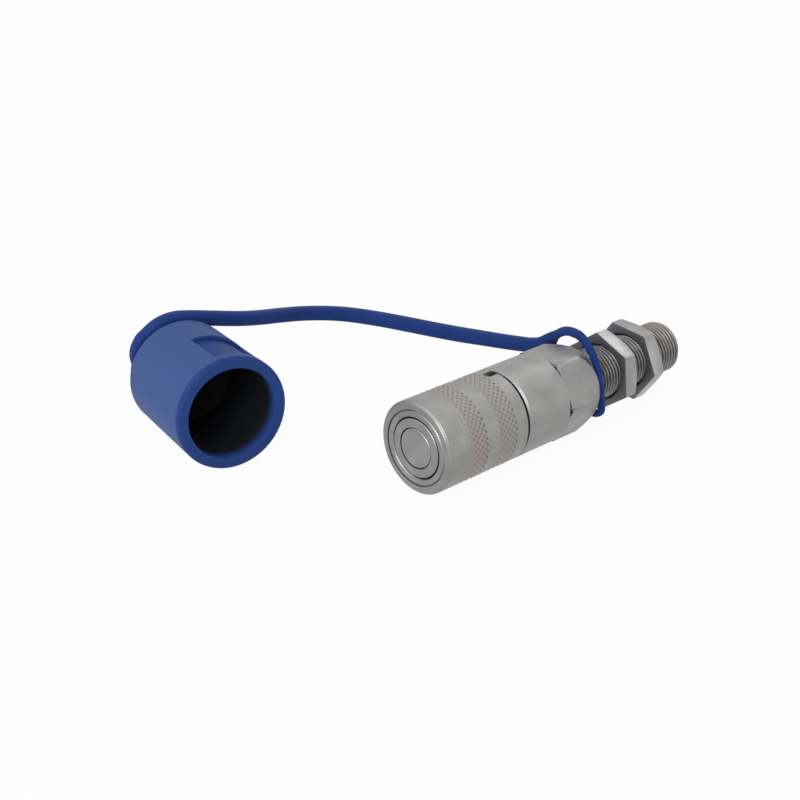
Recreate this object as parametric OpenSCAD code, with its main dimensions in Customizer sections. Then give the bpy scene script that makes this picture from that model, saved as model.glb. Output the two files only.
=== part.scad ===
// Flat-face hydraulic quick release coupling, socket half, bulkhead pattern, with its dust cap
// and strap. X is the coupling's axis: the flat mating face lies at x = 0 and faces -X, the
// threaded tail points along +X. +Z is up. The coupling and its cap lie on their sides.

/* [Locking sleeve] */
// Outside diameter of the sleeve and of the body's round front
sleeve_d = 30; // [29:0.5:34]
// Length of the sleeve
sleeve_len = 34.4; // [32:0.2:38]
// Chamfer round the sleeve's front edge
sleeve_chamfer = 0.8; // [0.4:0.1:1.2]
// Distance from the face to the front knurled band
knurl_front_x = 9.7; // [8:0.1:11]
// Distance from the face to the rear knurled band
knurl_rear_x = 21.6; // [19:0.1:22]
// Length of one knurl diamond
knurl_pitch = 2.15; // [1.6:0.05:2.4]
// Number of knurl diamonds round the sleeve
knurl_count = 45; // [36:1:60]
// Depth of the knurl
knurl_depth = 0.48; // [0.2:0.02:0.6]
// Depth of the two fine lines in front of the knurl
line_depth = 0.25; // [0.1:0.05:0.4]
// Forward travel of the sleeve when the coupling locks
sleeve_travel = 4; // [3:0.1:4.4]
// Gap between the drawn back sleeve and the body
sleeve_gap = 1.2; // [0.5:0.1:1.5]

/* [Barrel and locking balls] */
// Bore that takes the mating half's nose
nose_bore_d = 19.8; // [19.6:0.1:20.2]
// Outside diameter of the barrel
barrel_d = 24; // [23.8:0.1:24.4]
// Diameter of each locking ball
ball_d = 3; // [2.8:0.1:3.1]
// Distance from the face to the balls' centres
ball_x = 3.6; // [3:0.1:4.2]
// Number of locking balls
ball_count = 8; // [8:1:8]
// Inward travel of each ball when the coupling locks
ball_travel = 0.8; // [0.5:0.05:0.85]
// Width of the flange that the sleeve spring pushes on
flange_w = 3; // [2.8:0.1:3.4]
// Depth to which the barrel is screwed into the body
barrel_seat = 8; // [7:0.5:9]

/* [Valve] */
// Diameter of the fixed stem's flat head
stem_head_d = 12.7; // [12:0.1:13.2]
// Diameter of the stem's shank
stem_shank_d = 6; // [5:0.5:7]
// Stroke of the valve sleeve
stroke = 10; // [8:0.5:11]
// Width of the valve sleeve's rear flange
valve_flange_w = 2.5; // [2:0.25:3]
// Length of the valve spring when it is fully pressed
valve_spring_solid = 5; // [5:0.25:6]
// Thickness of the disc that carries the stem
carrier_w = 3.5; // [3:0.25:4]
// Diameter of the chamber inside the body
chamber_d = 23.2; // [22.8:0.1:23.4]

/* [Body and tail] */
// Distance from the face to the end of the body's round front
hex_x = 54.2; // [52:0.2:56]
// Width of the turned relief between the round front and the hexagon
relief_w = 0.9; // [0.5:0.1:1.4]
// Distance from the face to the body's rear face
body_end = 71.2; // [70:0.2:74]
// Width across the body's flats
body_af = 27; // [26.4:0.1:27.6]
// Diameter of the tail's thread
thread_d = 18; // [17.6:0.1:18.4]
// Length of the tail behind the body
tail_len = 48.6; // [44:0.2:52]
// Length of the relief between body and thread
neck_len = 5.6; // [5.4:0.2:6.4]
// Diameter of the relief between body and thread
neck_d = 15.8; // [15:0.1:15.9]
// Diameter of the oil passage through the tail
passage_d = 10; // [8:0.5:10.4]
// Diameter of the tube socket at the tail's end
tube_d = 12.1; // [12:0.05:12.3]

/* [Jam nuts] */
// Width across a nut's flats
nut_af = 24; // [23:0.1:25]
// Thickness of a nut
nut_w = 6; // [5:0.1:6.5]
// Distance from the face to the front nut
front_nut_x = 85.9; // [85:0.1:87]
// Free space between the two nuts
nut_space = 7.6; // [7.5:0.1:9]

/* [Dust cap] */
// Outside diameter of the cap's rim
cap_d = 37.4; // [36.8:0.1:38]
// Bore of the cap
cap_bore_d = 30.2; // [30:0.1:31]
// Length of the cap without its hub
cap_len = 40.3; // [37:0.1:42]
// Draft of the cap's side, lost on the radius over its length
cap_draft = 0.35; // [0.1:0.05:0.6]
// Diameter of the hub behind the cap
hub_d = 26.4; // [25.6:0.1:26.8]
// Length of the sunk panel on the cap's side
recess_len = 18; // [14:0.5:20]
// Depth of the sunk panel
recess_depth = 1.3; // [0.4:0.1:1.6]

/* [Strap] */
// Width of the strap
strap_w = 5; // [4.4:0.1:5.2]
// Thickness of the strap
strap_t = 4.2; // [3.6:0.1:4.4]

/* [Hidden] */
$fn = 96;

// running clearance between sliding pieces, and the smaller one between fixed pieces
slide_gap = 0.08;
fixed_gap = 0.04;
// small edge break on turned pieces
edge = 0.3;

sleeve_r = sleeve_d / 2;
nose_bore_r = nose_bore_d / 2;
barrel_r = barrel_d / 2;
valve_r = nose_bore_r - 0.1;
ball_r = ball_d / 2;
// the balls rest on the valve sleeve and stand out into the sleeve's groove
ball_rest_r = valve_r + fixed_gap + ball_r;
land_r = barrel_r + slide_gap;
groove_r = ball_rest_r + ball_r + 0.06;
ramp_slope = ball_travel / sleeve_travel;
ramp_end = ball_x + (groove_r - land_r) / ramp_slope;
groove_x = ball_x - ball_r - 0.25;
land_len = 3.2;
land_end = ramp_end + land_len;
spring_room_r = land_r + 1.5;

// the sleeve's rear end, worked forward to the spring's seat on the barrel
snap_w = 1.2;
rear_lip = 1.2;
snap_x = sleeve_len - rear_lip - snap_w;
snap_r = spring_room_r + 0.55;
flange_end = snap_x - sleeve_travel;
flange_x = flange_end - flange_w;
flange_r = spring_room_r - slide_gap;
body_x = sleeve_len + sleeve_gap;

// notch and detent ball at the sleeve's rear edge
detent_d = 2.5;
detent_x = sleeve_len - 1.4;
detent_seat = 0.65;
detent_r = barrel_r + detent_d / 2 - detent_seat;
notch_w = detent_d + 0.5;
notch_len = 4.6;

// knurled bands, counted in half diamonds, and the fine lines in front of them
front_rows = 6;
rear_rows = 7;
line_w = 0.2;

// widened fronts of the gaps in the mating face
face_gap = 0.25;
sleeve_gap_len = 0.6;
stem_gap_len = 1.4;

// seals, each a plain ring in its groove
seal_side = 0.1;
nose_seal_d = 1.2;
nose_seal_x = ball_x + ball_r + 1.7;
backup_w = 1;
nose_groove_w = nose_seal_d + backup_w + 3 * seal_side;
sleeve_seal_d = 1.6;
sleeve_seal_x = flange_x + (flange_w - sleeve_seal_d) / 2 - seal_side;
body_seal_d = 1.5;
body_seal_x = body_x + 2.2;
stem_seal_d = 1.4;
stem_seal_x = 1.8;

barrel_end = body_x + barrel_seat;
valve_flange_r = chamber_d / 2 - 0.3;
valve_flange_end = barrel_end + valve_flange_w;
valve_bore_r = stem_head_d / 2 + slide_gap;
valve_wide_r = nose_bore_r - 1.6;
valve_lip_len = stem_seal_x + stem_seal_d + 2.4;
carrier_x = valve_flange_end + stroke + valve_spring_solid;
carrier_end = carrier_x + carrier_w;
carrier_hub_r = 5.4;
stem_tail_d = 5;
stem_nut_w = 3;
stem_nut_af = 8;
ledge = 1.9;

valve_wire = 1.1;
valve_coils = 4;
valve_spring_r = chamber_d / 2 - 0.5 - valve_wire / 2;
sleeve_wire = 0.9;
sleeve_coils = 6;
sleeve_spring_r = (barrel_r + spring_room_r) / 2;

tail_end = body_end + tail_len;
thread_x = body_end + neck_len;
thread_r = thread_d / 2;
tube_socket = 12;
tube_cone = 1.1;
tail_chamfer = 0.8;
rear_chamfer_len = 5.2;
rear_chamfer = 1.7;
rear_edge = 0.4;
hex_corner_r = sleeve_r + 0.3;
relief_r = body_af / 2 + 0.1;
barrel_stop = 0.5;
ledge_cone_len = 4.4;
tube_cone_len = 5;
nut_bore_r = thread_r + 0.05;
nut_csk = 0.9;
rear_nut_x = front_nut_x + nut_w + nut_space;
front_nut_turn = 36;
rear_nut_turn = 54;

// the cap's place: centre of its mouth, and the turn of its axis about Z
cap_yaw = -101.6;
cap_mouth = [-29.36, 51.22, cap_d / 2 - sleeve_r];
cap_r = cap_d / 2;
cap_rear_r = cap_r - 0.1 - cap_draft;
cap_bore_r = cap_bore_d / 2;
cap_wall_floor = 4.5;
cap_lip = 1.1;
recess_turn = 20;
recess_x = 3.9;
recess_half_angle = 30;
hub_r = hub_d / 2;
hub_gap = 0.4;
hub_wall = 3.2;
eye_w = 2.8;
eye_lift = 0.8;
eye_r = hub_r + eye_lift + 0.1;
eye_t = 2.1;
hub_len = eye_w + 2 * hub_gap;
hub_flange_w = 1.3;
hub_flange_r = hub_r + 1.1;
hub_hollow_r = hub_r - hub_wall;

// free stretch of the strap, from the eye behind the cap to the top of the ring round the neck;
// each point is [x, y, z, share of the full section]
strap_route = [
    [-34.6, 96.6, 10.4, 0.56], [-34.2, 96.6, 13.2, 0.76], [-31.9, 96.1, 15.9, 0.9],
    [-28.9, 95.4, 18.8, 0.98], [-24.9, 94.5, 21.2, 1], [-20, 93.3, 22.2, 1.02],
    [-14, 91.9, 21.3, 1.04], [-5, 90.7, 18.5, 1.04], [4.5, 90.3, 15.6, 1.04],
    [14, 91.4, 13.2, 1.02], [24, 92.8, 11, 1], [33, 93, 9.2, 1], [41, 91.2, 7.8, 1],
    [47.5, 88, 6.7, 1], [52.5, 83.2, 5.9, 1], [57, 75.5, 5.4, 1], [60.5, 66.5, 5.2, 1],
    [63.3, 57, 5.3, 1], [65.5, 47, 5.8, 0.98], [67.4, 37.5, 6.6, 0.96], [68.9, 29.5, 7.3, 0.95],
    [70.3, 23, 7.9, 0.95], [71.6, 18.4, 8.4, 0.95], [72.5, 14.8, 9.6, 0.93],
    [73, 11.8, 11.9, 0.88], [73.2, 8.8, 14.4, 0.8], [73.3, 5.4, 16.2, 0.72],
    [73.3, 1.8, 16.8, 0.6]];
// ring round the neck: its plane's centre, its turn about Z, its lean and its outline, where each
// point is [y, z, share of the full section]
ring_centre = [74.4, -1, 2];
ring_yaw = -8;
ring_lean = -4;
ring_w = 2.6;
ring_t = 3;
ring_route = [
    [2.6, 15.1, 1], [-1, 14.9, 0.97], [-4.2, 13.2, 0.9], [-7, 10.2, 0.84], [-9.2, 6.4, 0.78],
    [-10.5, 2.2, 0.74], [-11.1, -2.2, 0.72], [-11.5, -6.2, 0.76], [-10.8, -9.2, 0.82],
    [-7.6, -10.8, 0.85], [-2, -11, 0.82], [4, -10.8, 0.78], [9, -9, 0.76], [12, -5.2, 0.76],
    [13.2, 0, 0.76], [13.2, 5, 0.8], [12.2, 9, 0.84], [9.8, 12.4, 0.9], [6.4, 14.4, 0.96]];

// turned piece: profile of [radius, x] points, revolved round the X axis
module turned(profile) {
    rotate([0, 90, 0]) rotate_extrude() polygon(profile);
}

// ring of round section with its inner radius and its section's diameter
module o_ring(inner_r, section_d, x) {
    translate([x + section_d / 2, 0, 0]) rotate([0, 90, 0]) rotate_extrude()
        translate([inner_r + section_d / 2, 0]) circle(d = section_d, $fn = 32);
}

// hexagonal prism along X, one corner at the angle turn above -Y
module hex_bar(af, x, len, turn) {
    translate([x, 0, 0]) rotate([-turn, 0, 0]) rotate([0, 90, 0]) rotate([0, 0, 90])
        cylinder(d = af / cos(30), h = len, $fn = 6);
}

function unit(v) = v / norm(v);
function tangent(pts, i, closed) =
    let (n = len(pts),
         after = closed ? (i + 1) % n : min(i + 1, n - 1),
         before = closed ? (i + n - 1) % n : max(i - 1, 0))
    unit(pts[after] - pts[before]);
// one ring of points of an oval section, w along the side direction and t across it
function oval(p, along, up, w, t, sides) =
    let (side = unit(cross(along, up)), lift = cross(side, along))
    [for (k = [0 : sides - 1])
        let (a = (k + 0.5) * 360 / sides)
        p + side * cos(a) * w / 2 + lift * sin(a) * t / 2];

// oval band swept along points; the section keeps its width square to the up direction, and
// shares gives the part of the full section that each point has
module band(pts, up, w, t, shares, closed, sides) {
    n = len(pts);
    points = [for (i = [0 : n - 1])
        let (share = is_list(shares) ? shares[i] : shares)
        each oval(pts[i], tangent(pts, i, closed), up, share * w, share * t, sides)];
    last = closed ? n - 1 : n - 2;
    walls = [for (i = [0 : last], k = [0 : sides - 1])
        let (a = i * sides, b = ((i + 1) % n) * sides, m = (k + 1) % sides)
        [a + m, b + m, b + k, a + k]];
    caps = closed ? [] : [[for (k = [sides - 1 : -1 : 0]) k],
                          [for (k = [0 : sides - 1]) (n - 1) * sides + k]];
    polyhedron(points, concat(walls, caps), convexity = 8);
}

// coil spring along X with flat closed ends
module coil_spring(x, len, r, wire, coils) {
    steps = 14;
    dead = 1;
    total = (coils + 2 * dead) * steps;
    pitch_len = len - 3 * wire;
    function place(i) =
        let (turns = i / steps)
        turns < dead ? wire / 2 + wire * turns
        : turns > coils + dead ? len - wire / 2 - wire * (coils + 2 * dead - turns)
        : 1.5 * wire + pitch_len * (turns - dead) / coils;
    helix = [for (i = [0 : total])
        [x + place(i), r * cos(i * 360 / steps), r * sin(i * 360 / steps)]];
    intersection() {
        band(helix, [1, 0, 0], wire, wire, 1, false, 6);
        translate([x + wire * 0.2, 0, 0]) rotate([0, 90, 0])
            cylinder(r = r + 2 * wire, h = len - wire * 0.4);
    }
}

module rear_body() {
    seat_r = barrel_r + fixed_gap;
    relief_end = hex_x + relief_w;
    color("darkgray") difference() {
        union() {
            turned([[0, body_x], [sleeve_r - 0.6, body_x], [sleeve_r, body_x + 0.6],
                    [sleeve_r, hex_x - 0.15], [sleeve_r - 0.15, hex_x], [relief_r, hex_x],
                    [relief_r, relief_end], [0, relief_end]]);
            intersection() {
                turned([[0, relief_end], [hex_corner_r, relief_end],
                        [hex_corner_r, body_end - rear_chamfer_len],
                        [sleeve_r - rear_chamfer, body_end - rear_edge],
                        [sleeve_r - rear_chamfer - rear_edge, body_end], [0, body_end]]);
                hex_bar(body_af, relief_end, body_end - relief_end, 0);
            }
            turned([[0, hex_x], [neck_d / 2, hex_x], [neck_d / 2, thread_x - 0.6],
                    [thread_r, thread_x + 0.6], [thread_r, tail_end - tail_chamfer],
                    [thread_r - tail_chamfer, tail_end], [0, tail_end]]);
        }
        turned([[0, body_x - 1], [seat_r + barrel_stop, body_x - 1],
                [seat_r + barrel_stop, body_x], [seat_r, body_x + barrel_stop],
                [seat_r, barrel_end], [chamber_d / 2, barrel_end],
                [chamber_d / 2, carrier_end], [chamber_d / 2 - ledge, carrier_end],
                [passage_d / 2, carrier_end + ledge_cone_len],
                [passage_d / 2, tail_end - tube_socket], [tube_d / 2, tail_end - tube_socket],
                [tube_d / 2, tail_end - tube_cone_len], [tube_d / 2 + tube_cone, tail_end],
                [tube_d / 2 + tube_cone, tail_end + 1], [0, tail_end + 1]]);
    }
}

module front_barrel() {
    color("gray") difference() {
        turned([[nose_bore_r + edge, 0], [barrel_r - edge, 0], [barrel_r, edge],
                [barrel_r, flange_x], [flange_r, flange_x], [flange_r, flange_end],
                [barrel_r, flange_end], [barrel_r, barrel_end - edge],
                [barrel_r - edge, barrel_end], [nose_bore_r, barrel_end], [nose_bore_r, edge]]);
        // seats of the locking balls, with a narrow rim that keeps them out of the bore
        for (i = [0 : ball_count - 1]) rotate([i * 360 / ball_count, 0, 0])
            translate([ball_x, 0, 0]) {
                translate([0, 0, nose_bore_r + 0.12])
                    cylinder(r = ball_r + 0.06, h = barrel_r);
                translate([0, 0, nose_bore_r - 1.2])
                    cylinder(r = ball_r - 0.02, h = 2);
            }
        turned([[nose_bore_r - 1, nose_seal_x], [nose_bore_r + nose_seal_d + 0.1, nose_seal_x],
                [nose_bore_r + nose_seal_d + 0.1, nose_seal_x + nose_groove_w],
                [nose_bore_r - 1, nose_seal_x + nose_groove_w]]);
        turned([[nose_bore_r - 1, sleeve_seal_x],
                [nose_bore_r + sleeve_seal_d + 0.1, sleeve_seal_x],
                [nose_bore_r + sleeve_seal_d + 0.1, sleeve_seal_x + sleeve_seal_d + 2 * seal_side],
                [nose_bore_r - 1, sleeve_seal_x + sleeve_seal_d + 2 * seal_side]]);
        turned([[barrel_r - body_seal_d + 0.1, body_seal_x], [barrel_r + 1, body_seal_x],
                [barrel_r + 1, body_seal_x + body_seal_d + 2 * seal_side],
                [barrel_r - body_seal_d + 0.1, body_seal_x + body_seal_d + 2 * seal_side]]);
        translate([detent_x, 0, detent_r]) sphere(d = detent_d + 2 * fixed_gap);
    }
}

// ring that cuts one diamond knurl: its inner wall has a low point where the knurl has a peak
module knurl_cutter(x, rows) {
    around = 2 * knurl_count;
    peak_r = sleeve_r - 0.02;
    low_r = peak_r - knurl_depth;
    outer_r = sleeve_r + 1;
    function at(r, i, j) = [x + j * knurl_pitch / 2,
                            r * cos(i * 360 / around), r * sin(i * 360 / around)];
    wall = [for (j = [0 : rows], i = [0 : around - 1])
        at((i + j) % 2 == 0 ? low_r : peak_r, i, j)];
    rim = [for (j = [0, rows], i = [0 : around - 1]) at(outer_r, i, j)];
    first = len(wall);
    // each field is split along the groove between its two low points
    inside = [for (j = [0 : rows - 1], i = [0 : around - 1])
        let (a = j * around + i, b = j * around + (i + 1) % around, c = a + around, d = b + around)
        each (i + j) % 2 == 0 ? [[a, b, d], [a, d, c]] : [[a, b, c], [b, d, c]]];
    outside = [for (i = [0 : around - 1])
        let (a = first + i, b = first + (i + 1) % around)
        each [[a, a + around, b + around], [a, b + around, b]]];
    front = [for (i = [0 : around - 1])
        let (a = i, b = (i + 1) % around) each [[a, first + a, first + b], [a, first + b, b]]];
    back = [for (i = [0 : around - 1])
        let (a = rows * around + i, b = rows * around + (i + 1) % around,
             c = first + around + i, d = first + around + (i + 1) % around)
        each [[a, b, d], [a, d, c]]];
    polyhedron(concat(wall, rim), concat(inside, outside, front, back), convexity = 6);
}

// fine line turned into the sleeve
module fine_line(x) {
    turned([[sleeve_r - line_depth, x], [sleeve_r + 1, x - 0.1],
            [sleeve_r + 1, x + line_w + 0.1], [sleeve_r - line_depth, x + line_w]]);
}

module locking_sleeve() {
    color("silver") difference() {
        turned([[land_r + face_gap, 0], [sleeve_r - sleeve_chamfer, 0],
                [sleeve_r - 0.3 * sleeve_chamfer, 0.3 * sleeve_chamfer],
                [sleeve_r, sleeve_chamfer], [sleeve_r, sleeve_len - edge],
                [sleeve_r - edge, sleeve_len], [spring_room_r + 0.15, sleeve_len],
                [spring_room_r, sleeve_len - 0.15], [spring_room_r, land_end],
                [land_r, land_end], [land_r, ramp_end], [groove_r, ball_x],
                [groove_r, groove_x], [land_r, groove_x - (groove_r - land_r)],
                [land_r, sleeve_gap_len], [land_r + face_gap, sleeve_gap_len]]);
        turned([[spring_room_r - 1, snap_x - fixed_gap], [snap_r, snap_x - fixed_gap],
                [snap_r, snap_x + snap_w + fixed_gap],
                [spring_room_r - 1, snap_x + snap_w + fixed_gap]]);
        knurl_cutter(knurl_front_x, front_rows);
        knurl_cutter(knurl_rear_x, rear_rows);
        for (place = [1, 2]) fine_line(knurl_front_x - 2 * place * line_w);
        // notch for the detent ball, open at the rear edge
        slot_len = notch_len - notch_w / 2;
        translate([sleeve_len - slot_len, -notch_w / 2, 0]) cube([slot_len + 1, notch_w, sleeve_r + 1]);
        translate([sleeve_len - slot_len, 0, 0]) cylinder(d = notch_w, h = sleeve_r + 1);
    }
}

module sleeve_spring() {
    color("lightgray")
        coil_spring(land_end, flange_x - land_end, sleeve_spring_r, sleeve_wire, sleeve_coils);
}

// open ring in the sleeve's rear groove; its gap leaves room for the detent ball
module sleeve_snap_ring() {
    gap = detent_d + 3;
    color("dimgray") difference() {
        turned([[barrel_r + 0.3, snap_x], [snap_r - fixed_gap, snap_x],
                [snap_r - fixed_gap, snap_x + snap_w], [barrel_r + 0.3, snap_x + snap_w]]);
        translate([snap_x - 1, -gap / 2, 0]) cube([snap_w + 2, gap, sleeve_r]);
    }
}

module detent_ball() {
    color("white") translate([detent_x, 0, detent_r]) sphere(d = detent_d);
}

module locking_ball(i) {
    color("white") rotate([i * 360 / ball_count, 0, 0])
        translate([ball_x, 0, ball_rest_r]) sphere(r = ball_r);
}

// the nose tapers so that the balls ride down it as it goes back
module valve_sleeve() {
    nose_drop = ball_travel * ball_x / stroke + 0.03;
    color("darkgray") turned([
        [valve_bore_r + face_gap, 0], [valve_r - nose_drop - 0.2, 0], [valve_r - nose_drop, 0.2],
        [valve_r, ball_x + 0.2], [valve_r, barrel_end], [valve_flange_r, barrel_end],
        [valve_flange_r, valve_flange_end], [valve_wide_r, valve_flange_end],
        [valve_wide_r, valve_lip_len + 1.5], [valve_bore_r, valve_lip_len],
        [valve_bore_r, stem_gap_len], [valve_bore_r + face_gap, stem_gap_len]]);
}

module valve_spring() {
    color("lightgray")
        coil_spring(valve_flange_end, carrier_x - valve_flange_end, valve_spring_r, valve_wire,
                    valve_coils);
}

module valve_stem() {
    head_r = stem_head_d / 2;
    shank_r = stem_shank_d / 2;
    shoulder_r = shank_r + 1;
    head_len = stem_seal_x + stem_seal_d + 1.6;
    color("silver") turned([
        [0, 0], [head_r - 0.2, 0], [head_r, 0.2], [head_r, stem_seal_x],
        [head_r - stem_seal_d + 0.05, stem_seal_x],
        [head_r - stem_seal_d + 0.05, stem_seal_x + stem_seal_d + 2 * seal_side],
        [head_r, stem_seal_x + stem_seal_d + 2 * seal_side], [head_r, head_len],
        [shank_r, head_len + 1.2 * (head_r - shank_r)], [shank_r, carrier_x - 2],
        [shoulder_r, carrier_x - 1], [shoulder_r, carrier_x], [stem_tail_d / 2, carrier_x],
        [stem_tail_d / 2, carrier_end + stem_nut_w + 0.6],
        [stem_tail_d / 2 - 0.4, carrier_end + stem_nut_w + 1], [0, carrier_end + stem_nut_w + 1]]);
}

module stem_seal() {
    color("black")
        o_ring(stem_head_d / 2 - stem_seal_d + 0.09, stem_seal_d - 0.08, stem_seal_x + seal_side);
}

// disc with six oil holes that stands on the chamber's ledge and holds the stem
module stem_carrier() {
    rim_r = chamber_d / 2 - fixed_gap;
    hole_r = (rim_r - carrier_hub_r) / 2 - 0.9;
    color("goldenrod") difference() {
        turned([[stem_tail_d / 2 + fixed_gap, carrier_x], [rim_r - edge, carrier_x],
                [rim_r, carrier_x + edge], [rim_r, carrier_end],
                [stem_tail_d / 2 + fixed_gap, carrier_end]]);
        for (i = [0 : 5]) rotate([30 + i * 60, 0, 0])
            translate([carrier_x - 1, 0, (rim_r + carrier_hub_r) / 2 - 0.4]) rotate([0, 90, 0])
                cylinder(r = hole_r, h = carrier_w + 2);
    }
}

module stem_nut() {
    color("silver") difference() {
        hex_bar(stem_nut_af, carrier_end, stem_nut_w, 0);
        translate([carrier_end - 1, 0, 0]) rotate([0, 90, 0])
            cylinder(r = stem_tail_d / 2 + fixed_gap, h = stem_nut_w + 2);
    }
}

module nose_seal() {
    color("black") o_ring(nose_bore_r + 0.02, nose_seal_d, nose_seal_x + seal_side);
}

module nose_backup_ring() {
    place = nose_seal_x + nose_seal_d + 2 * seal_side;
    color("ivory") turned([[nose_bore_r + 0.02, place], [nose_bore_r + nose_seal_d, place],
                           [nose_bore_r + nose_seal_d, place + backup_w],
                           [nose_bore_r + 0.02, place + backup_w]]);
}

module body_seal() {
    color("black")
        o_ring(barrel_r - body_seal_d + 0.12, body_seal_d - 0.12, body_seal_x + seal_side);
}

module valve_sleeve_seal() {
    color("black") o_ring(nose_bore_r + 0.02, sleeve_seal_d, sleeve_seal_x + seal_side);
}

// hexagon jam nut, chamfered on its rear side, with a countersunk bore
module jam_nut(x, turn) {
    corner_r = nut_af / 2 / cos(30);
    flat_r = nut_af / 2;
    drop = corner_r - flat_r + 0.3;
    difference() {
        intersection() {
            hex_bar(nut_af, x, nut_w, turn);
            turned([[0, x], [corner_r - 0.1, x], [corner_r + 0.1, x + 0.2],
                    [corner_r + 0.1, x + nut_w - drop * tan(30)],
                    [corner_r - drop, x + nut_w], [0, x + nut_w]]);
        }
        turned([[0, x - 1], [nut_bore_r + nut_csk, x - 1], [nut_bore_r + nut_csk, x],
                [nut_bore_r, x + nut_csk], [nut_bore_r, x + nut_w - nut_csk],
                [nut_bore_r + nut_csk, x + nut_w], [nut_bore_r + nut_csk, x + nut_w + 1],
                [0, x + nut_w + 1]]);
    }
}

module front_jam_nut() { color("lightgray") jam_nut(front_nut_x, front_nut_turn); }
module rear_jam_nut() { color("lightgray") jam_nut(rear_nut_x, rear_nut_turn); }

// places a shape made along +X, with its mouth at x = 0, where the cap lies
module at_cap() {
    translate(cap_mouth) rotate([0, 0, cap_yaw + 180]) children();
}

module dust_cap() {
    end_x = cap_len + hub_len;
    floor_x = cap_len - cap_wall_floor;
    color("royalblue") at_cap() difference() {
        turned([[cap_bore_r, 0], [cap_r - cap_lip, 0], [cap_r - 0.4 * cap_lip, 0.25 * cap_lip],
                [cap_r - 0.1 * cap_lip, 0.6 * cap_lip], [cap_r, cap_lip], [cap_r, 3 * cap_lip],
                [cap_rear_r, cap_len - 2], [cap_rear_r - 0.6, cap_len - 0.6],
                [cap_rear_r - 2, cap_len], [hub_r, cap_len], [hub_r, end_x],
                [hub_flange_r, end_x], [hub_flange_r - 0.5, end_x + hub_flange_w],
                [hub_hollow_r, end_x + hub_flange_w], [hub_hollow_r, cap_len + 0.4],
                [0, cap_len + 0.4], [0, floor_x], [cap_bore_r - 3.5, floor_x],
                [cap_bore_r - 0.2, floor_x - 3]]);
        // sunk panel on the side, its floor parallel to the side
        intersection() {
            turned([[cap_r - recess_depth, recess_x], [cap_r + 1, recess_x],
                    [cap_r + 1, recess_x + recess_len],
                    [cap_rear_r - recess_depth, recess_x + recess_len]]);
            rotate([recess_turn, 0, 0]) rotate([90, 0, 90]) linear_extrude(cap_len)
                polygon([[0, 0], [2 * cap_r * sin(recess_half_angle), 2 * cap_r * cos(recess_half_angle)],
                         [-2 * cap_r * sin(recess_half_angle), 2 * cap_r * cos(recess_half_angle)]]);
        }
    }
}

// one moulding: eye behind the cap, free strap, and ring round the neck
module strap() {
    eye_end = cap_len + hub_gap + eye_w;
    color("mediumblue") union() {
        translate([0, 0, eye_lift]) at_cap()
            turned([[eye_r, cap_len + hub_gap], [eye_r + eye_t - 0.5, cap_len + hub_gap],
                    [eye_r + eye_t, cap_len + hub_gap + 0.6], [eye_r + eye_t, eye_end - 0.6],
                    [eye_r + eye_t - 0.5, eye_end], [eye_r, eye_end]]);
        band([for (p = strap_route) [p[0], p[1], p[2]]], [0, 0, 1], strap_w, strap_t,
             [for (p = strap_route) p[3]], false, 8);
        translate(ring_centre) rotate([0, 0, ring_yaw]) rotate([0, ring_lean, 0])
            band([for (p = ring_route) [0, p[0], p[1]]], [1, 0, 0], ring_t, ring_w,
                 [for (p = ring_route) p[2]], true, 8);
    }
}

rear_body();
front_barrel();
locking_sleeve();
sleeve_spring();
sleeve_snap_ring();
detent_ball();
locking_ball(0);  // locking_ball_1
locking_ball(1);  // locking_ball_2
locking_ball(2);  // locking_ball_3
locking_ball(3);  // locking_ball_4
locking_ball(4);  // locking_ball_5
locking_ball(5);  // locking_ball_6
locking_ball(6);  // locking_ball_7
locking_ball(7);  // locking_ball_8
valve_sleeve();
valve_spring();
valve_stem();
stem_seal();
stem_carrier();
stem_nut();
nose_seal();
nose_backup_ring();
body_seal();
valve_sleeve_seal();
front_jam_nut();
rear_jam_nut();
dust_cap();
strap();
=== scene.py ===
import math

import bmesh
import bpy
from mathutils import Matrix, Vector


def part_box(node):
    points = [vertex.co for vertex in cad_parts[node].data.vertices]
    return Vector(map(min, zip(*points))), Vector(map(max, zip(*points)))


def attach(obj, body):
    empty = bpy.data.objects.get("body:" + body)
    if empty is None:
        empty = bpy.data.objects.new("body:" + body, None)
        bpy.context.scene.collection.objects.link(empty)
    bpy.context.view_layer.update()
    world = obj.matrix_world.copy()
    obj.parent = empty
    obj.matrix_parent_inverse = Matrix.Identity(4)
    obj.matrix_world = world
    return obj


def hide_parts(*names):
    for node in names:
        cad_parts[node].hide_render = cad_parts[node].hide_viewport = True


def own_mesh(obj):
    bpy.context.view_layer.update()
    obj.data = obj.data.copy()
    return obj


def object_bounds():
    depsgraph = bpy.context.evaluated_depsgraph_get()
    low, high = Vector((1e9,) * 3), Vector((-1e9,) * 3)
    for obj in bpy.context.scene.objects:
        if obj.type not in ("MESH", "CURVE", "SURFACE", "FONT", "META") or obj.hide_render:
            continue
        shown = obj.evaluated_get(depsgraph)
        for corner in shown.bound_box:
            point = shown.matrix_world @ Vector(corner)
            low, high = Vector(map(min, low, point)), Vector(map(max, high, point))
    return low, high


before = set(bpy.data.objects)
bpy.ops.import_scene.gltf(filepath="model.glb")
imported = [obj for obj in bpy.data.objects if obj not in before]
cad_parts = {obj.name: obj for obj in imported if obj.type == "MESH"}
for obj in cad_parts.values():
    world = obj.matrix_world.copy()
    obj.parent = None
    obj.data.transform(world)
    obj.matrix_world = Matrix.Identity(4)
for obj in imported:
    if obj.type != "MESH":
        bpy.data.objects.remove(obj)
cad_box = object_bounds()
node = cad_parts
mm = 0.001


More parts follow.
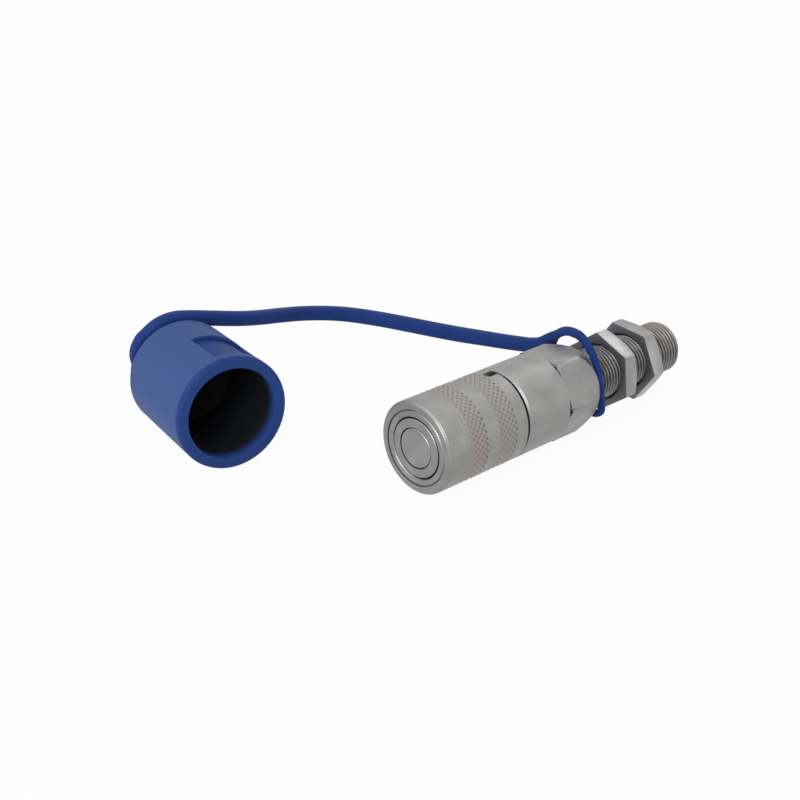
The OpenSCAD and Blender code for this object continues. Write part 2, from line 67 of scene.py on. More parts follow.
# The camera stands in front of the mating face, a little above it, and looks down the coupling
# and over the cap, with a long lens.
camera_data = bpy.data.cameras.new("camera")
camera_data.sensor_width = 36
camera_data.lens = 65.52
camera_data.clip_start = 0.01
camera = bpy.data.objects.new("camera", camera_data)
camera.location = (-0.27503, -0.28247, 0.19311)
camera.rotation_euler = (math.radians(65.81), 0, math.radians(-43.56))
bpy.context.collection.objects.link(camera)
bpy.context.scene.camera = camera
bpy.context.scene.view_settings.view_transform = "Standard"


# The surroundings are a white tent. Its walls and its table are white to the eye and in the
# metal, and they light the part a little less from the front than from above.
def link(tree, output, entry):
    """Joins one node's output to another node's entry."""
    tree.links.new(output, entry)


def math_node(tree, operation, a, b):
    """The result of one sum or test on two values, each a socket or a number."""
    step = tree.nodes.new("ShaderNodeMath")
    step.operation = operation
    for socket, value in zip(step.inputs, (a, b)):
        if isinstance(value, (int, float)):
            socket.default_value = value
        else:
            link(tree, value, socket)
    return step.outputs[0]


def seen_directly(tree):
    """1 for a ray from the camera, from a gloss or through glass, 0 for one that only lights."""
    path = tree.nodes.new("ShaderNodeLightPath")
    first = math_node(tree, "MAXIMUM", path.outputs["Is Camera Ray"],
                      path.outputs["Is Glossy Ray"])
    return math_node(tree, "MAXIMUM", first, path.outputs["Is Transmission Ray"])


world = bpy.data.worlds.new("tent")
bpy.context.scene.world = world
world.use_nodes = True
tree = world.node_tree
tree.nodes.clear()
walls = tree.nodes.new("ShaderNodeBackground")
walls.inputs["Color"].default_value = (1, 1, 1, 1)
walls.inputs["Strength"].default_value = 1.0
fill = tree.nodes.new("ShaderNodeBackground")
fill.inputs["Color"].default_value = (1, 1, 1, 1)
fill.inputs["Strength"].default_value = 0.5
mix = tree.nodes.new("ShaderNodeMixShader")
out = tree.nodes.new("ShaderNodeOutputWorld")
link(tree, seen_directly(tree), mix.inputs["Fac"])
link(tree, fill.outputs[0], mix.inputs[1])
link(tree, walls.outputs[0], mix.inputs[2])
link(tree, mix.outputs[0], out.inputs["Surface"])

table_size = 4
table_place = (0.05, 0.04, cad_box[0].z)
glow_share = 0.95
bpy.ops.mesh.primitive_plane_add(size=table_size, location=table_place)
table_top = bpy.context.object
table_top.name = "table_top"
paper = bpy.data.materials.new("white_paper")
paper.use_nodes = True
tree = paper.node_tree
tree.nodes.clear()
shade = tree.nodes.new("ShaderNodeBsdfDiffuse")
shade.inputs["Color"].default_value = (0.85, 0.85, 0.85, 1)
glow = tree.nodes.new("ShaderNodeEmission")
glow.inputs["Color"].default_value = (1, 1, 1, 1)
glow.inputs["Strength"].default_value = 1.0
mix = tree.nodes.new("ShaderNodeMixShader")
out = tree.nodes.new("ShaderNodeOutputMaterial")
link(tree, math_node(tree, "MULTIPLY", seen_directly(tree), glow_share), mix.inputs["Fac"])
link(tree, shade.outputs[0], mix.inputs[1])
link(tree, glow.outputs[0], mix.inputs[2])
link(tree, mix.outputs[0], out.inputs["Surface"])
table_top.data.materials.append(paper)


def softbox(name, place, aim, size, power):
    """A lamp behind a square of cloth, turned towards aim."""
    lamp = bpy.data.lights.new(name, "AREA")
    lamp.shape = "RECTANGLE"
    lamp.size = size[0]
    lamp.size_y = size[1]
    lamp.energy = power
    box = bpy.data.objects.new(name, lamp)
    box.location = place
    box.rotation_euler = (Vector(aim) - Vector(place)).to_track_quat("-Z", "Y").to_euler()
    bpy.context.collection.objects.link(box)


softbox("top_light", (0.35, 0.00, 0.75), (0.05, 0.02, 0), (1.1, 1.1), 1.4)
softbox("left_light", (-0.85, 0.25, 0.45), (0, 0.03, 0), (0.9, 0.9), 3.2)
softbox("right_light", (0.50, -0.60, 0.12), (0.03, 0, 0), (0.4, 0.3), 0.2)
softbox("front_light", (-0.48, -0.28, 0.34), (0.02, 0, 0), (0.26, 0.26), 1.6)
softbox("tail_light", (0.418, 0.041, 0.312), (0.086, 0, 0.011), (0.1, 0.1), 0.085)


# The rear body is one piece, turned from steel bar and plated satin grey: a round front, a
# hexagon for the wrench behind a turned relief, and a tail. Its screw thread is cut here.
patch_scale = 130
grain_scale = 5200
steel_rough_spread = 0.06
looks_forward = -0.6


def mixed(tree, share, first, second):
    """A colour between two, each a socket or a colour."""
    blend = tree.nodes.new("ShaderNodeMixRGB")
    link(tree, share, blend.inputs["Fac"])
    for socket, value in ((blend.inputs["Color1"], first), (blend.inputs["Color2"], second)):
        if isinstance(value, tuple):
            socket.default_value = value
        else:
            link(tree, value, socket)
    return blend.outputs["Color"]


def turned_steel(name, colour, roughness, line_scale=900, line_depth=0.00002, mottle=0.06,
                 front_shade_colour=None, end_from=-1.0, end_rougher=0.0, cut=None):
    """Satin plated steel with fine tool marks that run round the X axis.

    front_shade_colour is painted shade on the faces behind end_from that look forward, and
    end_rougher makes them rougher. cut, as (start, end, low radius, high radius, low colour, high
    colour), is for a knurl or thread, with shade painted darker into its grooves."""
    material = bpy.data.materials.new(name)
    material.use_nodes = True
    tree = material.node_tree
    shader = tree.nodes["Principled BSDF"]
    shader.inputs["Metallic"].default_value = 1.0
    place = tree.nodes.new("ShaderNodeTexCoord")
    apart = tree.nodes.new("ShaderNodeSeparateXYZ")
    link(tree, place.outputs["Object"], apart.inputs[0])
    flat = tree.nodes.new("ShaderNodeCombineXYZ")
    link(tree, apart.outputs["Y"], flat.inputs["Y"])
    link(tree, apart.outputs["Z"], flat.inputs["Z"])
    radius = tree.nodes.new("ShaderNodeVectorMath")
    radius.operation = "LENGTH"
    link(tree, flat.outputs[0], radius.inputs[0])
    # tool marks depend on the place along the axis and on the radius only
    marks_at = tree.nodes.new("ShaderNodeCombineXYZ")
    link(tree, apart.outputs["X"], marks_at.inputs["X"])
    link(tree, radius.outputs["Value"], marks_at.inputs["Y"])
    marks = tree.nodes.new("ShaderNodeTexNoise")
    marks.inputs["Scale"].default_value = line_scale
    marks.inputs["Detail"].default_value = 3
    link(tree, marks_at.outputs[0], marks.inputs["Vector"])
    cloud = tree.nodes.new("ShaderNodeTexNoise")
    cloud.inputs["Scale"].default_value = patch_scale
    cloud.inputs["Detail"].default_value = 5
    link(tree, place.outputs["Object"], cloud.inputs["Vector"])
    grain = tree.nodes.new("ShaderNodeTexNoise")
    grain.inputs["Scale"].default_value = grain_scale
    grain.inputs["Detail"].default_value = 2
    link(tree, place.outputs["Object"], grain.inputs["Vector"])
    tone = tree.nodes.new("ShaderNodeValToRGB")
    low = [c * (1 - 1.6 * mottle) for c in colour]
    high = [c * (1 + mottle) for c in colour]
    tone.color_ramp.elements[0].position = 0.35
    tone.color_ramp.elements[0].color = (*low, 1)
    tone.color_ramp.elements[1].position = 0.65
    tone.color_ramp.elements[1].color = (*high, 1)
    link(tree, cloud.outputs["Fac"], tone.inputs["Fac"])
    base = tone.outputs["Color"]
    # painted shade: faces behind end_from that look forward are painted a darker colour
    if front_shade_colour:
        facing = tree.nodes.new("ShaderNodeSeparateXYZ")
        link(tree, place.outputs["Normal"], facing.inputs[0])
        front = math_node(tree, "MULTIPLY",
                          math_node(tree, "LESS_THAN", facing.outputs["X"], looks_forward),
                          math_node(tree, "GREATER_THAN", apart.outputs["X"], end_from))
        base = mixed(tree, front, base, (*front_shade_colour, 1))
    # painted shade: in a cut, the colour runs by radius from the dark low colour in the grooves to
    # the high colour on the tops
    for start, end, low_r, high_r, low_colour, high_colour in cut or ():
        height = tree.nodes.new("ShaderNodeMapRange")
        height.inputs["From Min"].default_value = low_r
        height.inputs["From Max"].default_value = high_r
        link(tree, radius.outputs["Value"], height.inputs["Value"])
        groove_shade_tone = mixed(tree, height.outputs["Result"], (*low_colour, 1), (*high_colour, 1))
        after = math_node(tree, "GREATER_THAN", apart.outputs["X"], start)
        before = math_node(tree, "LESS_THAN", apart.outputs["X"], end)
        outside = math_node(tree, "GREATER_THAN", radius.outputs["Value"], low_r - 0.5 * mm)
        here = math_node(tree, "MULTIPLY", math_node(tree, "MULTIPLY", after, before), outside)
        base = mixed(tree, here, base, groove_shade_tone)
    link(tree, base, shader.inputs["Base Color"])
    rough = tree.nodes.new("ShaderNodeMapRange")
    rough.inputs["To Min"].default_value = roughness - steel_rough_spread
    rough.inputs["To Max"].default_value = roughness + steel_rough_spread
    link(tree, grain.outputs["Fac"], rough.inputs["Value"])
    rough = rough.outputs["Result"]
    if end_rougher:
        rough = math_node(tree, "ADD", rough, math_node(tree, "MULTIPLY", front, end_rougher))
    link(tree, rough, shader.inputs["Roughness"])
    fine = tree.nodes.new("ShaderNodeBump")
    fine.inputs["Strength"].default_value = 0.25
    fine.inputs["Distance"].default_value = line_depth
    link(tree, grain.outputs["Fac"], fine.inputs["Height"])
    lines = tree.nodes.new("ShaderNodeBump")
    lines.inputs["Strength"].default_value = 0.5
    lines.inputs["Distance"].default_value = line_depth
    link(tree, marks.outputs["Fac"], lines.inputs["Height"])
    link(tree, fine.outputs["Normal"], lines.inputs["Normal"])
    link(tree, lines.outputs["Normal"], shader.inputs["Normal"])
    return material


def copy_of(cad_piece, name):
    """A welded copy of a CAD solid, for cutting."""
    mesh = cad_piece.data.copy()
    welder = bmesh.new()
    welder.from_mesh(mesh)
    bmesh.ops.remove_doubles(welder, verts=welder.verts, dist=1e-6)
    bmesh.ops.recalc_face_normals(welder, faces=welder.faces)
    welder.to_mesh(mesh)
    welder.free()
    mesh.materials.clear()
    piece = bpy.data.objects.new(name, mesh)
    bpy.context.collection.objects.link(piece)
    return piece


def cut(piece, cutter):
    """Takes the cutter out of the piece, for good."""
    tool = piece.modifiers.new("cut", "BOOLEAN")
    tool.operation = "DIFFERENCE"
    tool.solver = "EXACT"
    tool.object = cutter
    graph = bpy.context.evaluated_depsgraph_get()
    result = bpy.data.meshes.new_from_object(piece.evaluated_get(graph))
    piece.modifiers.clear()
    # the cut leaves a few slivers without area
    cleaner = bmesh.new()
    cleaner.from_mesh(result)
    bmesh.ops.dissolve_degenerate(cleaner, edges=cleaner.edges, dist=1e-6)
    cleaner.to_mesh(result)
    cleaner.free()
    old = piece.data
    piece.data = result
    bpy.data.meshes.remove(old)
    bpy.data.objects.remove(cutter)


def crisp(piece, angle):
    """Smooth faces that meet at sharp edges where they turn by more than the angle."""
    mesh = piece.data
    mesh.polygons.foreach_set("use_smooth", [True] * len(mesh.polygons))
    mesh.set_sharp_from_angle(angle=math.radians(angle))


def turned_mesh(name, rows, around):
    """A closed ring from rows of points round the X axis; the last row joins the first."""
    points = []
    for row in rows:
        points += row
    faces = []
    for j in range(len(rows)):
        n = (j + 1) % len(rows)
        for k in range(around):
            m = (k + 1) % around
            faces.append([j * around + k, n * around + k, n * around + m, j * around + m])
    mesh = bpy.data.meshes.new(name)
    mesh.from_pydata(points, [], faces)
    piece = bpy.data.objects.new(name, mesh)
    bpy.context.collection.objects.link(piece)
    return piece


def round_point(x, r, angle):
    """A point at a radius from the coupling's axis."""
    return (x, r * math.cos(angle), r * math.sin(angle))


thread_pitch = 1.5 * mm
thread_depth = 0.92 * mm
thread_steps = 72
thread_rows = 10
crest_share = 0.14
flank_share = 0.72
run_in_turns = 0.7
crest_clear = 0.01 * mm
tail_r = 9 * mm
tail_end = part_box("rear_body")[1].x
thread_start = tail_end - 42.4 * mm
cutter_over = 0.8 * mm
cutter_wall = 2 * mm


def thread_r(turns, round_share):
    """Radius of a 60 degree thread with a flat crest and a narrow flat root.

    The cut deepens over its first turn, as the tool comes in."""
    off = abs(turns - round(turns)) * 2
    groove = min(1.0, max(0.0, (off - crest_share) / flank_share))
    from_start = math.floor(turns) + 0.5 + round_share
    lifted = 1 - min(1.0, max(0.0, from_start / run_in_turns))
    return tail_r + crest_clear - thread_depth * max(0.0, groove - lifted)


rows = []
row_count = round((tail_end + cutter_over - thread_start) / thread_pitch * thread_rows)
for j in range(row_count + 1):
    x = thread_start + j * thread_pitch / thread_rows
    row = []
    for k in range(thread_steps):
        r = thread_r(j / thread_rows - k / thread_steps, k / thread_steps)
        row.append(round_point(x, r, 2 * math.pi * k / thread_steps))
    rows.append(row)
for x in (rows[-1][0][0], thread_start):
    rows.append([round_point(x, tail_r + cutter_wall, 2 * math.pi * k / thread_steps)
                 for k in range(thread_steps)])
thread_cutter = turned_mesh("thread_cutter", rows, thread_steps)

# painted shade: the thread's roots are painted nearly black, grading to grey at the crests, and
# the hexagon corners' forward faces behind 50 mm are painted darker
thread_root_shade = (0.018, 0.017, 0.016)
crest_grey = (0.25, 0.238, 0.23)
body_steel = turned_steel(
    "body_steel", (0.285, 0.283, 0.28), 0.46, front_shade_colour=(0.15, 0.16, 0.17), end_from=50 * mm,
    cut=[(thread_start - 0.6 * mm, tail_end + 1 * mm, tail_r - 0.75 * mm, tail_r - 0.1 * mm,
          thread_root_shade, crest_grey)])
rear_body = copy_of(node["rear_body"], "rear_body_threaded")
cut(rear_body, thread_cutter)
rear_body.data.materials.clear()
rear_body.data.materials.append(body_steel)
crisp(rear_body, 18)
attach(rear_body, "body")
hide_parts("rear_body")


# The two jam nuts are sawn from hexagon bar and chamfered at the back. Their sides have a light
# drawn grain; their front faces are painted darker as shade. They sit where they were run up on
# the tail.
def softened(name, width, angle):
    """A copy of a CAD piece with its sharp edges broken."""
    piece = copy_of(node[name], name + "_softened")
    worker = bmesh.new()
    worker.from_mesh(piece.data)
    bmesh.ops.dissolve_limit(worker, angle_limit=math.radians(0.5), verts=worker.verts,
                             edges=worker.edges)
    edges = [e for e in worker.edges
             if len(e.link_faces) == 2 and e.calc_face_angle() > math.radians(angle)]
    bmesh.ops.bevel(worker, geom=edges, offset=width, segments=2, profile=0.6,
                    affect="EDGES", clamp_overlap=True)
    worker.to_mesh(piece.data)
    worker.free()
    return piece


nut_edge = 0.12 * mm
nut_edge_angle = 24
# painted shade: the nuts' forward end faces get the darker colour, for the shade of the body in
# front of them
nut_steel = turned_steel("nut_steel", (0.30, 0.297, 0.302), 0.31, mottle=0.12,
                         front_shade_colour=(0.165, 0.175, 0.185), end_rougher=0.3)
for name, body in (("front_jam_nut", "front_nut"), ("rear_jam_nut", "rear_nut")):
    nut = softened(name, nut_edge, nut_edge_angle)
    nut.data.materials.append(nut_steel)
    crisp(nut, nut_edge_angle)
    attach(nut, body)
    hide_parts(name)


# The locking sleeve is turned steel with two bands of rolled diamond knurl for the fingers and
# two fine lines in front of them. A notch at its rear edge takes the detent ball.
sleeve_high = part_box("locking_sleeve")[1]
sleeve_r = sleeve_high.z
sleeve_len = sleeve_high.x
diamonds = 45
samples = 12
around = diamonds * samples
diamond_len = 2.15 * mm
knurl_depth = 0.38 * mm
knurl_rise = 0.04 * mm
groove_share = 0.7
single_share = 0.55
crossing_share = 0.45
bands = ((9.7 * mm, 36), (21.6 * mm, 42))
# painted shade: the knurl's grooves are painted a dark brown-grey, grading by radius to the
# diamonds' grey
knurl_groove_shade = (0.13, 0.12, 0.11)
diamond_grey = (0.295, 0.28, 0.265)
sleeve_steel = turned_steel(
    "sleeve_steel", (0.283, 0.281, 0.278), 0.46,
    cut=[(x, x + count * diamond_len / samples, sleeve_r - knurl_depth, sleeve_r - 0.1 * mm,
          knurl_groove_shade, diamond_grey) for x, count in bands])


def knurl_r(turn, along):
    """Radius of the knurl: V grooves that cross and are deepest where they cross."""
    u = turn + along
    v = turn - along
    groove_u = max(0.0, 1 - abs(u - round(u)) * 2 / groove_share)
    groove_v = max(0.0, 1 - abs(v - round(v)) * 2 / groove_share)
    depth = single_share * max(groove_u, groove_v) + crossing_share * groove_u * groove_v
    return sleeve_r + knurl_rise - knurl_depth * depth


def plain_row(x, r):
    """One circle of the sleeve's mesh."""
    return [round_point(x, r, 2 * math.pi * k / around) for k in range(around)]


mouth_r = 12.33 * mm
line_w = 0.15 * mm
line_deep = 0.1 * mm
band_edge = 0.03 * mm
rear_bevel = 0.3 * mm
rows = [plain_row(x * mm, mouth_r) for x in (0.6, 0)]
# the front edge has a narrow bevel with a small round behind it
rows += [plain_row(x * mm, sleeve_r - drop * mm) for x, drop in (
    (0, 0.92), (0.32, 0.6), (0.37, 0.45), (0.55, 0.2), (0.8, 0.05), (1.2, 0))]
for line_x in (7.5 * mm, 9.05 * mm):
    rows += [plain_row(line_x - line_w, sleeve_r), plain_row(line_x, sleeve_r - line_deep),
             plain_row(line_x + line_w, sleeve_r)]
for band_x, count in bands:
    rows.append(plain_row(band_x - band_edge, sleeve_r))
    for i in range(count + 1):
        x = band_x + i * diamond_len / samples
        rows.append([round_point(x, knurl_r(k / samples, i / samples), 2 * math.pi * k / around)
                     for k in range(around)])
    rows.append(plain_row(x + band_edge, sleeve_r))
rows += [plain_row(sleeve_len - rear_bevel, sleeve_r),
         plain_row(sleeve_len, sleeve_r - rear_bevel)]
# the inside: the skirt, the bore over the barrel, and the pocket and ramp for the balls
rows += [plain_row(x * mm, r * mm) for x, r in (
    (34.4, 13.73), (34.25, 13.58), (10.9, 13.58), (10.9, 12.08), (7.7, 12.08), (3.6, 12.90),
    (1.85, 12.90), (1.03, 12.08), (0.6, 12.08))]
sleeve = turned_mesh("locking_sleeve_knurled", rows, around)
notch_w = 3 * mm
notch_len = 4.6 * mm
notch_depth = 6 * mm
notch_spare = 1 * mm
bpy.ops.mesh.primitive_cylinder_add(
    vertices=48, radius=notch_w / 2, depth=notch_depth,
    location=(sleeve_len - notch_len + notch_w / 2, 0, sleeve_r))
cut(sleeve, bpy.context.object)
bpy.ops.mesh.primitive_cube_add(
    size=1,
    location=(sleeve_len - notch_len / 2 + notch_w / 4 + notch_spare / 2, 0, sleeve_r))
bpy.context.object.scale = (notch_len - notch_w / 2 + notch_spare, notch_w, notch_depth)
bpy.context.view_layer.update()
cut(sleeve, bpy.context.object)
sleeve.data.materials.clear()
sleeve.data.materials.append(sleeve_steel)
crisp(sleeve, 24)
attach(sleeve, "sleeve")
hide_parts("locking_sleeve")


# The front barrel, the valve sleeve and the stem's head end flush in the flat mating face. They
# are fine turned and plated. The barrel is fixed in the body, and the nut holds the stem.
def finish_node(name, material):
    """Gives a CAD piece, as it is, its material."""
    piece = node[name]
    piece.data.materials.clear()
    piece.data.materials.append(material)


barrel_steel = turned_steel("barrel_steel", (0.285, 0.285, 0.287), 0.42)
valve_steel = turned_steel("valve_steel", (0.285, 0.285, 0.29), 0.40, line_depth=0.00003)
finish_node("front_barrel", barrel_steel)
finish_node("valve_sleeve", valve_steel)
finish_node("valve_stem", valve_steel)
finish_node("stem_nut", body_steel)


# The two springs and the snap ring are hard drawn wire, and the balls are polished. The valve
# spring gets a mesh of its own. The ring's front is eased where it meets its stop.
spring_steel = turned_steel("spring_steel", (0.30, 0.30, 0.31), 0.28, line_scale=2400)
finish_node("sleeve_spring", spring_steel)
valve_coil = copy_of(node["valve_spring"], "valve_spring_coil")
valve_coil.data.materials.append(spring_steel)
crisp(valve_coil, 40)
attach(valve_coil, "body")
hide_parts("valve_spring")
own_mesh(valve_coil)
ring_low, ring_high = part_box("sleeve_snap_ring")
ease = 0.05 * mm
snap_ring = copy_of(node["sleeve_snap_ring"], "sleeve_snap_ring_eased")
snap_ring.data.materials.append(spring_steel)
for corner in snap_ring.data.vertices:
    corner.co.x += ease * (ring_high.x - corner.co.x) / (ring_high.x - ring_low.x)
crisp(snap_ring, 40)
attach(snap_ring, "sleeve_ring")
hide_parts("sleeve_snap_ring")
ball_steel = turned_steel("ball_steel", (0.62, 0.62, 0.63), 0.12, mottle=0.02)
finish_node("detent_ball", ball_steel)
for i in range(8):
    finish_node(f"locking_ball_{i + 1}", ball_steel)


# The disc that carries the stem is turned brass with six holes that let the oil past. It stands
# on a ledge in the body, and a nut on the stem's end pulls the stem's shoulder against it.
carrier_brass = turned_steel("carrier_brass", (0.62, 0.44, 0.18), 0.3)
finish_node("stem_carrier", carrier_brass)


# The dust cap is moulded plastic, matt blue, with shade painted nearly black into its deep bore.
# It turns freely in the strap's eye.
cloud_scale = 60
moulded_rough_spread = 0.05


def moulded(name, colour, roughness, gloss, pores, depth):
    """Moulded plastic with soft clouds in its colour and fine pores in its skin."""
    material = bpy.data.materials.new(name)
    material.use_nodes = True
    tree = material.node_tree
    shader = tree.nodes["Principled BSDF"]
    shader.inputs["Specular IOR Level"].default_value = gloss
    place = tree.nodes.new("ShaderNodeTexCoord")
    cloud = tree.nodes.new("ShaderNodeTexNoise")
    cloud.inputs["Scale"].default_value = cloud_scale
    cloud.inputs["Detail"].default_value = 4
    link(tree, place.outputs["Object"], cloud.inputs["Vector"])
    tone = tree.nodes.new("ShaderNodeValToRGB")
    tone.color_ramp.elements[0].position = 0.3
    tone.color_ramp.elements[0].color = (*[c * 0.9 for c in colour], 1)
    tone.color_ramp.elements[1].position = 0.7
    tone.color_ramp.elements[1].color = (*[c * 1.08 for c in colour], 1)
    link(tree, cloud.outputs["Fac"], tone.inputs["Fac"])
    link(tree, tone.outputs["Color"], shader.inputs["Base Color"])
    skin = tree.nodes.new("ShaderNodeTexNoise")
    skin.inputs["Scale"].default_value = pores
    skin.inputs["Detail"].default_value = 3
    link(tree, place.outputs["Object"], skin.inputs["Vector"])
    rough = tree.nodes.new("ShaderNodeMapRange")
    rough.inputs["To Min"].default_value = roughness - moulded_rough_spread
    rough.inputs["To Max"].default_value = roughness + moulded_rough_spread
    link(tree, skin.outputs["Fac"], rough.inputs["Value"])
    link(tree, rough.outputs["Result"], shader.inputs["Roughness"])
    bump = tree.nodes.new("ShaderNodeBump")
    bump.inputs["Strength"].default_value = 0.5
    bump.inputs["Distance"].default_value = depth
    link(tree, skin.outputs["Fac"], bump.inputs["Height"])
    link(tree, bump.outputs["Normal"], shader.inputs["Normal"])
    return material


cap_axis = Vector((-0.201078, -0.979575, 0))
cap_mouth = Vector((-29.36, 51.22, 3.7)) * mm
cap_bore_r = 15.15 * mm
cap_bore_floor = 38 * mm
# partly painted sheen: the paler blue of the outer side
side_blue_and_sheen = (0.043, 0.087, 0.245, 1)
mouth_blue = (0.028, 0.075, 0.30, 1)
# painted shade: the bore's colours darken inwards to near black, as the deep bore's shade
bore_shade = (0.014, 0.015, 0.018, 1)
bore_floor_shade = (0.011, 0.011, 0.012, 1)
cap_plastic = moulded("cap_plastic", (0.018, 0.051, 0.200), 0.55, 0.1, 2200, 0.00004)
tree = cap_plastic.node_tree
shader = tree.nodes["Principled BSDF"]
place = tree.nodes.new("ShaderNodeTexCoord")
off = tree.nodes.new("ShaderNodeVectorMath")
off.operation = "SUBTRACT"
off.inputs[1].default_value = cap_mouth
link(tree, place.outputs["Object"], off.inputs[0])
square = tree.nodes.new("ShaderNodeVectorMath")
square.operation = "CROSS_PRODUCT"
square.inputs[1].default_value = cap_axis
link(tree, off.outputs["Vector"], square.inputs[0])
away = tree.nodes.new("ShaderNodeVectorMath")
away.operation = "LENGTH"
link(tree, square.outputs["Vector"], away.inputs[0])
along = tree.nodes.new("ShaderNodeVectorMath")
along.operation = "DOT_PRODUCT"
along.inputs[1].default_value = cap_axis
link(tree, off.outputs["Vector"], along.inputs[0])


def ramp_between(tree, value, low, high):
    """0 below low and 1 above high."""
    step = tree.nodes.new("ShaderNodeMapRange")
    step.interpolation_type = "SMOOTHSTEP"
    step.inputs["From Min"].default_value = low
    step.inputs["From Max"].default_value = high
    link(tree, value, step.inputs["Value"])
    return step.outputs["Result"]


# the outer side has the mould's matt grain and is painted paler, partly with painted light and
# sheen; the rim and the recessed panel keep the deeper blue
inward = math_node(tree, "MULTIPLY", along.outputs["Value"], -1)
outer = ramp_between(tree, away.outputs["Value"], 17.7 * mm, 18.2 * mm)
behind_rim = ramp_between(tree, inward, 0.9 * mm, 2.4 * mm)
base = shader.inputs["Base Color"].links[0].from_socket
base = mixed(tree, math_node(tree, "MULTIPLY", outer, behind_rim), base, side_blue_and_sheen)
# painted shade: the bore is blue at its mouth only and painted darker inwards, and its floor is
# painted the darkest
in_bore = math_node(tree, "MULTIPLY",
                    math_node(tree, "LESS_THAN", away.outputs["Value"], cap_bore_r),
                    math_node(tree, "LESS_THAN", inward, cap_bore_floor))
bore = mixed(tree, ramp_between(tree, inward, 0.3 * mm, 6 * mm), mouth_blue, bore_shade)
bore = mixed(tree, ramp_between(tree, inward, 27 * mm, 33 * mm), bore, bore_floor_shade)
base = mixed(tree, in_bore, base, bore)
link(tree, base, shader.inputs["Base Color"])
finish_node("dust_cap", cap_plastic)


# The strap is one soft moulding: an eye round the cap's hub, a free band with rounded edges,
# and a ring round the neck behind the body, which the band flows into from above.
strap_plastic = moulded("strap_plastic", (0.014, 0.041, 0.180), 0.5, 0.06, 900, 0.00003)
strap_w = 5.7 * mm
strap_t = 4.9 * mm
steps = 4
band_sides = 24
edge_power = 0.7
# each point of a route is x, y and z in mm, and the share of the full section there
strap_route = [
    (-33.9, 96.9, 7.4, 0.36), (-34.1, 96.7, 10.4, 0.5), (-33.4, 96.5, 13.2, 0.64),
    (-31.6, 96.1, 15.8, 0.78), (-28.9, 95.4, 18, 0.92), (-24.9, 94.5, 20.2, 0.95),
    (-20, 93.3, 21.1, 0.97), (-14, 91.9, 20.3, 0.98), (-5, 90.7, 18.1, 1),
    (4.5, 90.3, 15.6, 1), (14, 91.4, 13.2, 1), (24, 92.8, 11, 1), (33, 93, 9.2, 1),
    (41, 91.2, 7.8, 1), (47.5, 88, 6.7, 1), (52.5, 83.2, 5.9, 1), (57, 75.5, 5.4, 1),
    (60.5, 66.5, 5.2, 1), (63.3, 57, 5.3, 1), (65.5, 47, 5.8, 1), (67.4, 37.5, 6.6, 0.98),
    (68.9, 29.5, 7.3, 0.96), (70.3, 23, 7.9, 0.95), (71.6, 18.4, 8.4, 0.93),
    (72.5, 14.8, 9.6, 0.88), (73, 11.8, 11.9, 0.78), (73.3, 8.8, 14.2, 0.64),
    (73.6, 5.4, 16.1, 0.5), (73.9, 1.8, 16.8, 0.4)]
lug_route = [
    (-33.7, 96.9, 6.6, 0.44), (-34.2, 96.7, 9.6, 0.66), (-33.8, 96.5, 12.4, 0.78),
    (-32.5, 96.2, 15, 0.84), (-30.8, 95.8, 16.9, 0.86), (-29.6, 95.6, 18, 0.7)]
ring_centre = Vector((74.4, -1, 2)) * mm
ring_yaw = math.radians(-8)
ring_lean = math.radians(-4)
ring_w = 2.6 * mm
ring_t = 3 * mm
# the ring's points are across and up in its own plane, with the share
ring_route = [
    (2.6, 15.1, 1), (-1, 14.9, 0.97), (-4.2, 13.2, 0.9), (-7, 10.2, 0.84), (-9.2, 6.4, 0.78),
    (-10.5, 2.2, 0.74), (-11.1, -2.2, 0.72), (-11.5, -6.2, 0.76), (-10.8, -9.2, 0.82),
    (-7.6, -10.8, 0.85), (-2, -11, 0.82), (4, -10.8, 0.78), (9, -9, 0.76), (12, -5.2, 0.76),
    (13.2, 0, 0.76), (13.2, 5, 0.8), (12.2, 9, 0.84), (9.8, 12.4, 0.9), (6.4, 14.4, 0.96)]


def smooth_line(points, closed, between):
    """Points on one smooth curve through the given ones."""
    n = len(points)
    line = []
    for i in range(n if closed else n - 1):
        p = [points[(i + k) % n] if closed else points[min(max(i + k, 0), n - 1)]
             for k in (-1, 0, 1, 2)]
        for s in range(between):
            t = s / between
            line.append(0.5 * (2 * p[1] + (p[2] - p[0]) * t
                               + (2 * p[0] - 5 * p[1] + 4 * p[2] - p[3]) * t * t
                               + (3 * p[1] - p[0] - 3 * p[2] + p[3]) * t * t * t))
    if not closed:
        line.append(points[-1])
    return line


def moulded_band(name, line, shares, closed, ups, width, thick, material):
    """A band with rounded edges, swept along a line; its width stays square to ups."""
    n = len(line)
    points = []
    for i, p in enumerate(line):
        before = line[i - 1] if closed or i else line[0]
        after = line[(i + 1) % n] if closed else line[min(i + 1, n - 1)]
        along = (after - before).normalized()
        side = along.cross(ups[i]).normalized()
        lift = side.cross(along)
        for k in range(band_sides):
            a = 2 * math.pi * k / band_sides
            c = math.copysign(abs(math.cos(a)) ** edge_power, math.cos(a))
            s = math.copysign(abs(math.sin(a)) ** edge_power, math.sin(a))
            points.append(p + (side * c * width + lift * s * thick) * shares[i] / 2)
    faces = []
    for i in range(n if closed else n - 1):
        m = (i + 1) % n
        for k in range(band_sides):
            q = (k + 1) % band_sides
            faces.append([i * band_sides + k, m * band_sides + k, m * band_sides + q,
                          i * band_sides + q])
    if not closed:
        faces.append([k for k in range(band_sides - 1, -1, -1)])
        faces.append([(n - 1) * band_sides + k for k in range(band_sides)])
    mesh = bpy.data.meshes.new(name)
    mesh.from_pydata(points, [], faces)
    mesh.materials.append(material)
    piece = bpy.data.objects.new(name, mesh)
    bpy.context.collection.objects.link(piece)
    crisp(piece, 60)
    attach(piece, "body")
    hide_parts("strap")
    return piece


hub = cap_mouth - cap_axis * 42 * mm


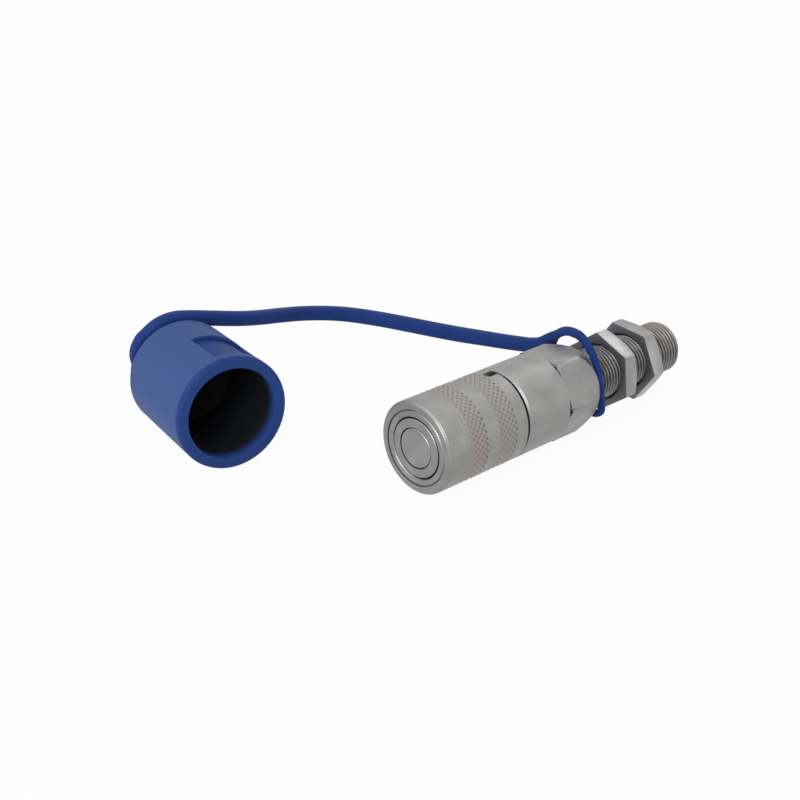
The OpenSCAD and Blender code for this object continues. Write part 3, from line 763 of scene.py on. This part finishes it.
def hub_band(name, route):
    """A stretch of strap that turns with the cap's hub and lies flat from there on."""
    curve = smooth_line([Vector(p) for p in route], False, steps)
    line = [Vector(p[:3]) * mm for p in curve]
    ups = [(p - hub).cross(cap_axis).cross(-cap_axis) if p.x < hub.x else Vector((0, 0, 1))
           for p in line]
    piece = moulded_band(name, line, [p[3] for p in curve], False, ups, strap_w, strap_t,
                         strap_plastic)
    return piece, line


band, band_line = hub_band("strap_band", strap_route)
hub_band("strap_lug", lug_route)

turn = Vector((math.cos(ring_yaw), math.sin(ring_yaw), 0))
ring_side = Vector((-math.sin(ring_yaw), math.cos(ring_yaw), 0))
ring_up = turn * math.sin(ring_lean) + Vector((0, 0, math.cos(ring_lean)))
ring_curve = smooth_line([Vector(p) for p in ring_route], True, steps)
ring_line = [ring_centre + (ring_side * p.x + ring_up * p.y) * mm for p in ring_curve]
moulded_band("strap_neck_ring", ring_line, [p.z for p in ring_curve], True,
             [ring_side.cross(ring_up)] * len(ring_line), ring_t, ring_w, strap_plastic)

eye_r = 15.15 * mm
eye_t = 2.1 * mm
eye_w = 2.8 * mm
eye_lift = 0.8 * mm
eye_steps = 96
eye_centre = cap_mouth - cap_axis * 42.1 * mm + Vector((0, 0, eye_lift))
cap_side = Vector((-cap_axis.y, cap_axis.x, 0))
eye_line = [eye_centre + cap_side * math.cos(2 * math.pi * k / eye_steps) * eye_r
            + Vector((0, 0, math.sin(2 * math.pi * k / eye_steps) * eye_r))
            for k in range(eye_steps)]
moulded_band("strap_eye", eye_line, [1] * eye_steps, True, [cap_axis] * eye_steps, eye_t, eye_w,
             strap_plastic)


# The seals are moulded rings of black nitrile rubber, each sprung into its groove, and a plain
# white ring turned from hard plastic backs up the one at the nose.
seal_rubber = moulded("seal_rubber", (0.012, 0.012, 0.012), 0.6, 0.5, 3000, 0.00002)
for name in ("stem_seal", "nose_seal", "body_seal", "valve_sleeve_seal"):
    finish_node(name, seal_rubber)
backup_plastic = moulded("backup_plastic", (0.75, 0.72, 0.65), 0.45, 0.5, 2500, 0.00001)
finish_node("nose_backup_ring", backup_plastic)
